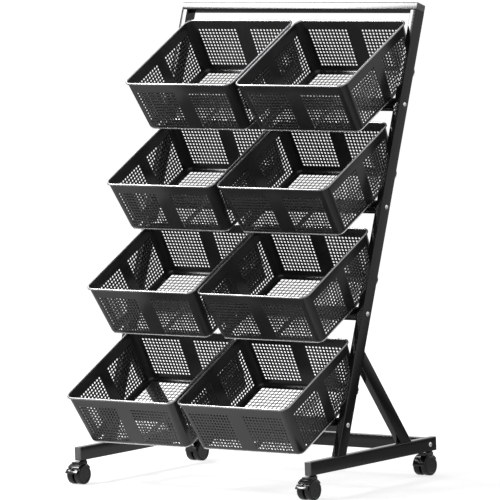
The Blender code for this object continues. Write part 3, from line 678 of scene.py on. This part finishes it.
tray = tray_shell()
curl_edge(tray)
faces = flat_faces(tray)
wall_plans = (
    ("front", -REARWARD, ACROSS, half_y, half_x, end_strip, front_columns, first_row),
    ("rear", REARWARD, -ACROSS, half_y, half_x, end_strip, rear_columns, rear_first_row),
    ("left", -ACROSS, -REARWARD, half_x, half_y, side_strip, side_columns, first_row),
    ("right", ACROSS, REARWARD, half_x, half_y, side_strip, side_columns, first_row),
)
for name, out, along, distance, half_wall, strip, columns, top in wall_plans:
    up_wall = (UPWARD * tray_height + out * tray_taper).normalized()
    matrix = placing(out * distance, along, up_wall)
    punch_face(tray, faces[name], matrix, wall_windows(half_wall, strip, columns, top))
bottom_width = half_x - tray_taper - tray_edge - bottom_margin - middle_strip / 2
bottom_run = half_y - tray_taper - tray_edge - bottom_margin - cross_strip / 2
bottom_pitch = bottom_run / bottom_rows
bottom_plan = (bottom_columns, bottom_width, bottom_width, bottom_rows, bottom_pitch,
               bottom_opening / math.sqrt(2), bottom_facets)
bottom_windows = []
for mirrored in (False, True):
    for start in (cross_strip / 2 + bottom_run, -cross_strip / 2):
        offset = Vector((-middle_strip / 2 if mirrored else middle_strip / 2, start, 0))
        bottom_windows.append((mirrored, offset, bottom_plan))
punch_face(tray, faces["bottom"], placing(-UPWARD * tray_height, ACROSS, REARWARD), bottom_windows)
bmesh.ops.recalc_face_normals(tray, faces=tray.faces)
lowest = min(tray.faces, key=lambda face: face.calc_center_median().z)
if lowest.normal.z > 0:
    bmesh.ops.reverse_faces(tray, faces=tray.faces)

tray_coat = powder_coat("tray_powder_coat", (0.029, 0.029, 0.030), (0.041, 0.041, 0.042),
                        roughness=0.24, peel=0.000005, refraction=1.5)


def painted_highlight_metal(name, dull, bright):
    """Bright metal on an edge as a painted highlight, mottled at random between a duller and a brighter tone.
    """
    finish = Finish(name, bright, roughness=0.24, metallic=0.92)
    patches = finish.noise(scale=60.0, detail=3.0)
    specks = finish.noise(scale=420.0)
    highlight_mottle = finish.ramp(patches * 0.6 + specks * 0.4, low=0.35, high=0.7)
    finish.set("Base Color", finish.blend(highlight_mottle, dull, bright))
    finish.set("Roughness", highlight_mottle * -0.08 + 0.30)
    finish.bump(finish.noise(scale=700.0, stretch=(0.2, 0.2, 1)), depth=0.000004)
    return finish.material


# The curled rim in bright metal: a painted highlight along the top of each tray's rim.
rim_highlight_steel = painted_highlight_metal("rim_painted_highlight", (0.28, 0.28, 0.29), (0.42, 0.42, 0.43))
tray_lift = tube_face / 2 + seat_gap + tray_height


def tray_places():
    """Label and matrix of each tray: its origin is the middle of the rim, its Y runs to the rear."""
    for tier in range(tier_count):
        rim_middle = bar_middle(tier) + tray_up * tray_lift - tray_back * tray_forward
        for side, side_name in SIDES:
            reach = ACROSS * side * (tray_width + tray_gap) / 2
            yield str(tier + 1) + "_" + side_name, placing(rim_middle + reach, ACROSS, tray_back)


for label, matrix in tray_places():
    shape = tray.copy()
    put(shape, matrix)
    piece = add_piece("punched_tray_" + label, shape, tray_coat, "tray_black", "tray_" + label)
    # Second material for the curl: the rim's painted highlight.
    piece.data.materials.append(rim_highlight_steel)
    sheet = piece.modifiers.new("sheet", "SOLIDIFY")
    sheet.thickness = drawn_sheet
    sheet.offset = -1
    sheet.use_even_offset = True
tray.free()

# Foot seams: a slim rolled bead round the foot of each tray, in bright steel that is a painted highlight.
# It stands a little proud of the bend between the walls and the bottom.
seam_radius = 0.0015
seam_stand = 0.0008
seam_angle = math.radians(50)
seam_resolution = 3
# The seam's near-white metal is a painted highlight along the tray's bottom bend.
seam_highlight_steel = painted_highlight_metal("seam_painted_highlight", (0.80, 0.80, 0.81), (0.95, 0.95, 0.95))


def seam_path():
    """Points of the bead's middle line in the tray's own frame, round its four corners."""
    reach = tray_edge + seam_stand
    radius = tray_corner - tray_edge + reach * math.cos(seam_angle)
    height = tray_edge - tray_height - reach * math.sin(seam_angle)
    core_x, core_y = half_x - tray_taper - tray_corner, half_y - tray_taper - tray_corner
    points = []
    for corner, (sign_x, sign_y) in enumerate(((1, 1), (-1, 1), (-1, -1), (1, -1))):
        for step in range(tray_corner_steps + 1):
            turn = (corner + step / tray_corner_steps) * math.pi / 2
            points.append((sign_x * core_x + radius * math.cos(turn),
                           sign_y * core_y + radius * math.sin(turn), height))
    return points


def seam_shape(matrix):
    """Round bead swept along the closed path."""
    curve = bpy.data.curves.new("seam", "CURVE")
    curve.dimensions = "3D"
    curve.bevel_depth = seam_radius
    curve.bevel_resolution = seam_resolution
    spline = curve.splines.new("POLY")
    points = seam_path()
    spline.points.add(len(points) - 1)
    for item, point in zip(spline.points, points):
        item.co = (*point, 1)
    spline.use_cyclic_u = True
    holder = bpy.data.objects.new("seam", curve)
    draft = bpy.data.meshes.new_from_object(holder)
    shape = bmesh.new()
    shape.from_mesh(draft)
    bpy.data.objects.remove(holder)
    bpy.data.curves.remove(curve)
    bpy.data.meshes.remove(draft)
    put(shape, matrix)
    return shape


for label, matrix in tray_places():
    add_piece("foot_seam_" + label, seam_shape(matrix), seam_highlight_steel, "tray_black")

# Tray screws: two low screws hold each tray's floor to its crossbar, through the plain strip.
# They are the same button heads, blackened.
screw_reach = 0.100
screw_length = 0.008
screw_seat = seat_gap + drawn_sheet - tray_height
black_oxide = plated_steel("black_oxide", (0.030, 0.030, 0.032), (0.045, 0.045, 0.047),
                           roughness=0.34, turning=0.000010)
for label, matrix in tray_places():
    for side, side_name in SIDES:
        place = matrix @ Matrix.Translation((side * screw_reach, tray_forward, screw_seat))
        screw = button_head(screw_length, place)
        add_piece("tray_screw_" + label + "_" + side_name, screw, black_oxide, "bolt_zinc")

# Caster stems: a threaded pin with a flange, screwed up into the foot; the caster turns on it.
# Turned from steel and blackened, with the flange just under the foot.
caster_inset = 0.021
stem_radius = 0.005
stem_flange_radius = 0.009
stem_flange = 0.002
stem_top = 0.010
stem_low = -0.0094
flange_chamfer = 0.0005
thread_pitch = 0.0015
thread_depth = 0.0005
stem_facets = 40


def stem_shape(matrix):
    """Stem along Z from its flange, with a thread of fine grooves above."""
    high = -seat_gap
    low = high - stem_flange
    profile = [(0, stem_low), (stem_radius, stem_low), (stem_radius, low),
               (stem_flange_radius - flange_chamfer, low), (stem_flange_radius, low + flange_chamfer),
               (stem_flange_radius, high - flange_chamfer), (stem_flange_radius - flange_chamfer, high)]
    turns = int((stem_top - high) / thread_pitch)
    for turn in range(turns):
        start = high + turn * thread_pitch
        profile += [(stem_radius - thread_depth, start), (stem_radius, start + thread_pitch / 2)]
    profile += [(stem_radius - thread_depth, stem_top), (0, stem_top)]
    shape = turned(profile, stem_facets)
    put(shape, matrix)
    return shape


caster_places = {}
for side, side_name in SIDES:
    for end, along in (("front", caster_inset), ("rear", foot_length - caster_inset)):
        label = end + "_" + side_name
        caster_places[label] = Vector((side * side_x, foot_front + along, caster_height))
        stem = stem_shape(Matrix.Translation(caster_places[label]))
        add_piece("threaded_stem_" + label, stem, black_oxide, "caster_steel", "caster_stem_" + label)

# Caster housings: a web between the two wheels that grows into a hood over them, with a socket
# for the stem behind. One glossy black nylon moulding; the front two carry a lug for the pedal.
caster_trail = 0.018
wheel_radius = 0.025
wheel_width = 0.018
web_thickness = 0.005
wheel_side_gap = 0.0005
hood_clearance = 0.002
hood_wall = 0.002
hood_side_step = 0.002
hood_shoulder = 0.0018
shoulder_steps = 4
hood_steps = 44
hood_back_angle = math.radians(32)
hood_front_angles = {"front": math.radians(41), "rear": math.radians(2)}
hub_radius = 0.006
boss_radius = 0.008
axle_radius = 0.003
socket_radius_outside = 0.011
socket_lip = 0.0012
crown_width = 0.026
crown_length = 0.026
crown_low = 0.0262
crown_corner = 0.004
crown_corner_steps = 6
crown_edge = 0.001
crown_edge_steps = 3
moulded_chamfer = 0.0006
round_facets = 48
hood_plastic = moulded_plastic("hood_plastic", (0.006, 0.006, 0.007), (0.014, 0.014, 0.015),
                               roughness=0.12, grain=0.000008, grain_scale=700.0)
half_hood = web_thickness / 2 + wheel_side_gap + wheel_width - hood_side_step
inside = wheel_radius + hood_clearance
outside = inside + hood_wall
socket_top = caster_height - wheel_radius - stem_flange - 2 * seat_gap
along_axle = placing(Vector(), REARWARD, UPWARD)
pin_radius = 0.0022
pin_clearance = 0.0013
lug_wall = 0.0022
pivot_angle = math.radians(30.5)
pivot_radius = wheel_radius + pin_clearance + pin_radius
pedal_pivot = Vector((0, -math.cos(pivot_angle), math.sin(pivot_angle))) * pivot_radius


def merge_in(shape, other, matrix=Matrix()):
    """Add another shape to a shape, placed by a matrix."""
    put(other, matrix)
    draft = bpy.data.meshes.new("draft")
    other.to_mesh(draft)
    other.free()
    shape.from_mesh(draft)
    bpy.data.meshes.remove(draft)


def hood_section():
    """Half of the section through web and hood, as (distance across, radius) points."""
    points = [(web_thickness / 2, hub_radius), (web_thickness / 2, inside - moulded_chamfer),
              (web_thickness / 2 + moulded_chamfer, inside), (half_hood - moulded_chamfer, inside),
              (half_hood, inside + moulded_chamfer)]
    for step in range(shoulder_steps + 1):
        turn = step / shoulder_steps * math.pi / 2
        points.append((half_hood - hood_shoulder * (1 - math.cos(turn)),
                       outside - (hood_wall - moulded_chamfer) * (1 - math.sin(turn))))
    return points


def hood_shape(front_angle):
    """Web and hood swept round the axle from the front angle, over the top, to the back."""
    half = hood_section()
    section = half + [(-x, radius) for x, radius in reversed(half)]
    shape = bmesh.new()
    verts = [shape.verts.new((x, -radius * math.cos(front_angle), radius * math.sin(front_angle)))
             for x, radius in section]
    edges = [shape.edges.new(pair) for pair in zip(verts, verts[1:] + verts[:1])]
    bmesh.ops.spin(shape, geom=verts + edges, cent=(0, 0, 0), axis=(1, 0, 0), steps=hood_steps,
                   angle=front_angle + hood_back_angle - math.pi)
    bmesh.ops.holes_fill(shape, edges=[edge for edge in shape.edges if edge.is_boundary])
    bmesh.ops.recalc_face_normals(shape, faces=shape.faces)
    return shape


def ring(outer, inner, thickness):
    """Flat ring about Z with chamfered edges."""
    half = thickness / 2
    profile = [(inner, -half), (outer - moulded_chamfer, -half), (outer, moulded_chamfer - half),
               (outer, half - moulded_chamfer), (outer - moulded_chamfer, half), (inner, half),
               (inner, -half)]
    return turned(profile, round_facets)


def socket_shape():
    """Socket for the stem, its lower end following the hood and the cut of its back."""
    bore = stem_radius + seat_gap
    floor = caster_height - wheel_radius + stem_low - seat_gap
    profile = [(0, 0), (socket_radius_outside, 0), (socket_radius_outside, socket_top - socket_lip),
               (socket_radius_outside - socket_lip / 3, socket_top - socket_lip / 3),
               (socket_radius_outside - socket_lip, socket_top), (bore, socket_top), (bore, floor),
               (0, floor)]
    shape = turned(profile, round_facets)
    bmesh.ops.translate(shape, vec=REARWARD * caster_trail, verts=shape.verts)
    middle = (inside + outside) / 2
    for vert in shape.verts:
        if abs(vert.co.z) < weld_distance:
            under = math.sqrt(max(middle ** 2 - vert.co.y ** 2, 0))
            vert.co.z = max(under, vert.co.y * math.tan(hood_back_angle))
    return shape


def crown_shape():
    """Raised pad on top of the hood, just under the foot, that leads into the socket."""
    height = socket_top - crown_low
    shape = block((crown_width, crown_length, height), Matrix.Translation(UPWARD * (crown_low + height / 2)))
    round_edges(shape, upright_edges(shape, height / 2), crown_corner, crown_corner_steps)
    round_edges(shape, top_face(shape).edges[:], crown_edge, crown_edge_steps)
    return shape


def housing_shape(end, matrix):
    """Whole housing of a front or a rear caster, its axle at the matrix's origin."""
    shape = hood_shape(hood_front_angles[end])
    merge_in(shape, crown_shape())
    merge_in(shape, ring(boss_radius, axle_radius + seat_gap, web_thickness), along_axle)
    merge_in(shape, socket_shape())
    if end == "front":
        lug_radius = pin_radius + seat_gap + lug_wall
        merge_in(shape, ring(lug_radius, pin_radius + seat_gap, web_thickness),
                 Matrix.Translation(pedal_pivot) @ along_axle)
        arm_run = pivot_radius - hub_radius - pin_radius
        arm = block((web_thickness, arm_run, 2 * lug_radius - lug_wall))
        towards = pedal_pivot.normalized()
        merge_in(shape, arm, placing(towards * (hub_radius + arm_run / 2), ACROSS, towards))
    put(shape, matrix)
    return shape


axle_places = {label: Vector((place.x, place.y - caster_trail, wheel_radius))
               for label, place in caster_places.items()}
for label, place in axle_places.items():
    housing = housing_shape(label.split("_")[0], Matrix.Translation(place))
    add_piece("moulded_housing_" + label, housing, hood_plastic, "caster_black",
              "caster_housing_" + label, body="caster_" + label)

# Axles: a plain plated steel pin held in the web of each caster.
# Each end of it carries a wheel, which turns on it with a blind bore.
wheel_cap = 0.004
axle_length = 2 * (web_thickness / 2 + wheel_side_gap + wheel_width - wheel_cap - seat_gap)
caster_steel = plated_steel("caster_steel", (0.62, 0.62, 0.63), (0.42, 0.42, 0.44),
                            roughness=0.30, turning=0.000012)
for label, place in axle_places.items():
    half = axle_length / 2
    profile = [(0, -half), (axle_radius - flange_chamfer, -half), (axle_radius, flange_chamfer - half),
               (axle_radius, half - flange_chamfer), (axle_radius - flange_chamfer, half), (0, half)]
    axle = turned(profile, stem_facets)
    put(axle, Matrix.Translation(place) @ along_axle)
    add_piece("steel_axle_" + label, axle, caster_steel, "caster_steel", "caster_axle_" + label,
              body="caster_" + label)

# Wheels: two on each caster, of hard black nylon, moulded with a sunk disc inside a raised rim,
# a shallow hub and a rounded tread that has picked up scuffs.
wheel_round = 0.0035
wheel_round_steps = 5
rim_width = 0.0026
disc_sink = 0.0012
hub_ring = 0.0062
hub_rise = 0.0005
wheel_facets = 64
nylon_refraction = 1.38


def wheel_plastic():
    """Hard black nylon: a fine moulded grain, with scuffs that turn it greyer."""
    finish = Finish("wheel_nylon", (0.008, 0.008, 0.009), roughness=0.34)
    grain = finish.noise(scale=900.0)
    rubbing = finish.noise(scale=330.0, detail=4.0, roughness=0.7, stretch=(1, 0.35, 1))
    scuffs = finish.ramp(rubbing, low=0.55, high=0.78)
    cloud = finish.noise(scale=45.0)
    wear = scuffs * 0.5 + cloud * 0.3
    finish.set("Base Color", finish.blend(wear, (0.006, 0.006, 0.007), (0.022, 0.022, 0.023)))
    finish.set("Roughness", scuffs * 0.16 + cloud * 0.06 + 0.27)
    finish.bump(grain, depth=0.00001)
    finish.set("IOR", nylon_refraction)
    return finish.material


wheel_nylon = wheel_plastic()


def wheel_shape(matrix):
    """Wheel about its own Z, its outer side up."""
    half = wheel_width / 2
    bore = axle_radius + seat_gap
    low = half - disc_sink
    rim_start = wheel_radius - wheel_round - rim_width
    profile = [(0, low + hub_rise), (hub_ring - hub_rise, low + hub_rise), (hub_ring, low),
               (rim_start - disc_sink, low), (rim_start - disc_sink / 3, half - disc_sink / 3),
               (rim_start, half)]
    rounding = [(step / wheel_round_steps) * math.pi / 2 for step in range(wheel_round_steps + 1)]
    shoulder = wheel_radius - wheel_round
    profile += [(shoulder + wheel_round * math.sin(turn), half - wheel_round * (1 - math.cos(turn)))
                for turn in rounding]
    profile += [(shoulder + wheel_round * math.cos(turn), wheel_round * (1 - math.sin(turn)) - half)
                for turn in rounding]
    profile += [(bore, -half), (bore, half - wheel_cap), (0, half - wheel_cap)]
    shape = turned(profile, wheel_facets)
    put(shape, matrix)
    return shape


wheel_out = web_thickness / 2 + wheel_side_gap + wheel_width / 2
for label, place in axle_places.items():
    for side, _ in SIDES:
        wheel = wheel_shape(facing_out(place + ACROSS * side * wheel_out, side))
        wheel_name = "wheel_" + label + "_" + ("outer" if side * place.x > 0 else "inner")
        add_piece("nylon_" + wheel_name, wheel, wheel_nylon, "wheel_black", wheel_name, body=wheel_name)

# Brake pedals: on the two front casters, pressed down with a foot to lock the wheels.
# Glossy black moulding like the hood: a plate that curves down to its tip, slotted round the lug.
pedal_length = 0.0115
pedal_thickness = 0.0024
pedal_round = 0.0008
pedal_round_steps = 3
pedal_slope = math.radians(38)
slot_reach = pin_radius + lug_wall + 2 * seat_gap
slot_half = web_thickness / 2 + 2 * seat_gap
pedal_bend = math.radians(22)
pedal_bend_steps = 7


def pedal_shape(matrix):
    """Pedal about its pin; the plate reaches forward, with a slot behind for the lug."""
    shape = bmesh.new()
    corners = [(-half_hood, 0), (-half_hood, -pedal_length), (half_hood, -pedal_length), (half_hood, 0),
               (slot_half, 0), (slot_half, -slot_reach), (-slot_half, -slot_reach), (-slot_half, 0)]
    outline = [shape.verts.new((x, y, -pedal_thickness / 2)) for x, y in corners]
    shape.faces.new(outline)
    grown = bmesh.ops.extrude_face_region(shape, geom=shape.faces[:])["geom"]
    bmesh.ops.translate(shape, vec=UPWARD * pedal_thickness, verts=kind_of(grown, bmesh.types.BMVert))
    bmesh.ops.recalc_face_normals(shape, faces=shape.faces)
    round_edges(shape, shape.edges[:], pedal_round, pedal_round_steps)
    for step in range(1, pedal_bend_steps):
        across_plate = -REARWARD * pedal_length * step / pedal_bend_steps
        bmesh.ops.bisect_plane(shape, geom=shape.verts[:] + shape.edges[:] + shape.faces[:],
                               plane_co=across_plate, plane_no=REARWARD)
    for vert in shape.verts:
        vert.co.z -= math.tan(pedal_bend) / (2 * pedal_length) * vert.co.y ** 2
    half = half_hood - pedal_round
    pin = turned([(0, -half), (pin_radius, -half), (pin_radius, half), (0, half)], stem_facets)
    merge_in(shape, pin, along_axle)
    put(shape, matrix)
    return shape


for side, side_name in SIDES:
    label = "front_" + side_name
    matrix = Matrix.Translation(axle_places[label] + pedal_pivot) @ Matrix.Rotation(pedal_slope, 4, "X")
    add_piece("moulded_pedal_" + label, pedal_shape(matrix), hood_plastic, "caster_black",
              "brake_pedal_" + label, body="pedal_" + label)

# Studio: a white floor and room with five soft boxes, four on the left and one behind. The posts'
# front faces mirror the first box near their tops. To mirroring surfaces the floor is bright right
# under the rack and far away from it, and dark in between.
target = Vector((0.0176, 0.00555, 0.5868))
azimuth, elevation, roll = math.radians(38.12), math.radians(5.26), math.radians(-2.09)
camera_distance = 13.9265
picture_width = 500
focal_pixels = 5498.69
back = Vector((math.sin(azimuth) * math.cos(elevation), -math.cos(azimuth) * math.cos(elevation),
               math.sin(elevation)))
level = Vector((math.cos(azimuth), math.sin(azimuth), 0))
above = back.cross(level)
level, above = (level * math.cos(roll) + above * math.sin(roll),
                above * math.cos(roll) - level * math.sin(roll))
lens = bpy.data.cameras.new("camera")
lens.sensor_width = 36
lens.lens = lens.sensor_width * (focal_pixels / picture_width)
lens.clip_end = 100
camera = bpy.data.objects.new("camera", lens)
camera.matrix_world = placing(target + back * camera_distance, level, above)
bpy.context.scene.collection.objects.link(camera)
bpy.context.scene.camera = camera
floor_white = (0.55, 0.55, 0.55)
floor_dark = (0.09, 0.09, 0.09)
near_glow = 0.75
far_glow = 0.90
mirror_glow = 0.60
under_glow = 0.55
glow_reach = 5.0
floor_size = 30


def backdrop_white():
    """Pale floor that looks white to the camera, to mirrors and through glass, and keeps shadows."""
    finish = Finish("backdrop_white", floor_white, roughness=0.9)
    seen = finish.node("LightPath", {}, {}, "Is Camera Ray")
    glossy = finish.node("LightPath", {}, {}, "Is Glossy Ray")
    through = finish.node("LightPath", {}, {}, "Is Transmission Ray")
    away = finish.node("VectorMath", {"operation": "LENGTH"}, {0: finish.place}, "Value")
    share = away * (1 / glow_reach)
    spread = finish.ramp(share, low=0.2, high=1.0)
    straight = seen.brighter(through) * (spread * (far_glow - near_glow) + near_glow)
    mirrored = glossy * finish.ramp(share, low=0.5, high=1.0) * mirror_glow
    under = glossy * (1 - finish.ramp(share, low=0.09, high=0.15)) * under_glow
    glow = straight.brighter(mirrored.brighter(under))
    dimmed = glossy * finish.ramp(share, low=0.26, high=0.36)
    finish.set("Base Color", finish.blend(dimmed, floor_white, floor_dark))
    finish.set("Emission Color", finish.blend(glow, (0, 0, 0), (1, 1, 1)))
    finish.set("Emission Strength", 1.0)
    finish.set("Specular IOR Level", 0.0)
    return finish.material


floor = bpy.data.objects.new("floor", bpy.data.meshes.new("floor"))
shape = bmesh.new()
bmesh.ops.create_grid(shape, x_segments=1, y_segments=1, size=floor_size)
shape.to_mesh(floor.data)
shape.free()
floor.data.materials.append(backdrop_white())
bpy.context.scene.collection.objects.link(floor)

room_light = (0.25, 0.25, 0.25)


class Room(Finish):
    """The world round the rack, with its nodes made by the same method as a finish's."""

    def __init__(self, world):
        world.use_nodes = True
        self.tree = world.node_tree
        self.shader = self.tree.nodes["Background"]


bpy.context.scene.world = bpy.data.worlds.new("studio")
room = Room(bpy.context.scene.world)
seen = room.node("LightPath", {}, {}, "Is Camera Ray")
glossy = room.node("LightPath", {}, {}, "Is Glossy Ray")
room.set("Color", room.blend(seen.brighter(glossy), room_light, (1, 1, 1)))
room.set("Strength", 1.0)


def soft_box(name, place, aim, width, height, radiance):
    """Rectangular lamp at a place, facing a point, as bright as its radiance says."""
    lamp = bpy.data.lights.new(name, "AREA")
    lamp.shape = "RECTANGLE"
    lamp.size = width
    lamp.size_y = height
    lamp.energy = radiance * math.pi * width * height
    box = bpy.data.objects.new(name, lamp)
    facing = (place - aim).to_track_quat("Z", "Y").to_matrix().to_4x4()
    box.matrix_world = Matrix.Translation(place) @ facing
    bpy.context.scene.collection.objects.link(box)


soft_box("front_left_box", Vector((-1.95, -1.70, 2.80)), Vector((0, 0.25, 1.15)),
         width=0.80, height=0.80, radiance=35)
soft_box("lower_left_box", Vector((-1.95, -2.45, 2.00)), Vector((0.3, 0.1, 0.6)),
         width=1.1, height=0.8, radiance=2.5)
soft_box("left_box", Vector((-2.5, -1.15, 3.1)), Vector((0, -0.25, 0.04)),
         width=1.3, height=0.7, radiance=15)
soft_box("back_left_box", Vector((-1.9, 1.25, 3.0)), Vector((0, 0.1, 0.7)),
         width=1.4, height=1.4, radiance=4)
soft_box("rear_box", Vector((0.3, 2.4, 3.0)), Vector((0, 0, 0.6)),
         width=3.0, height=1.6, radiance=1.2)

bpy.context.scene.view_settings.view_transform = "Standard"
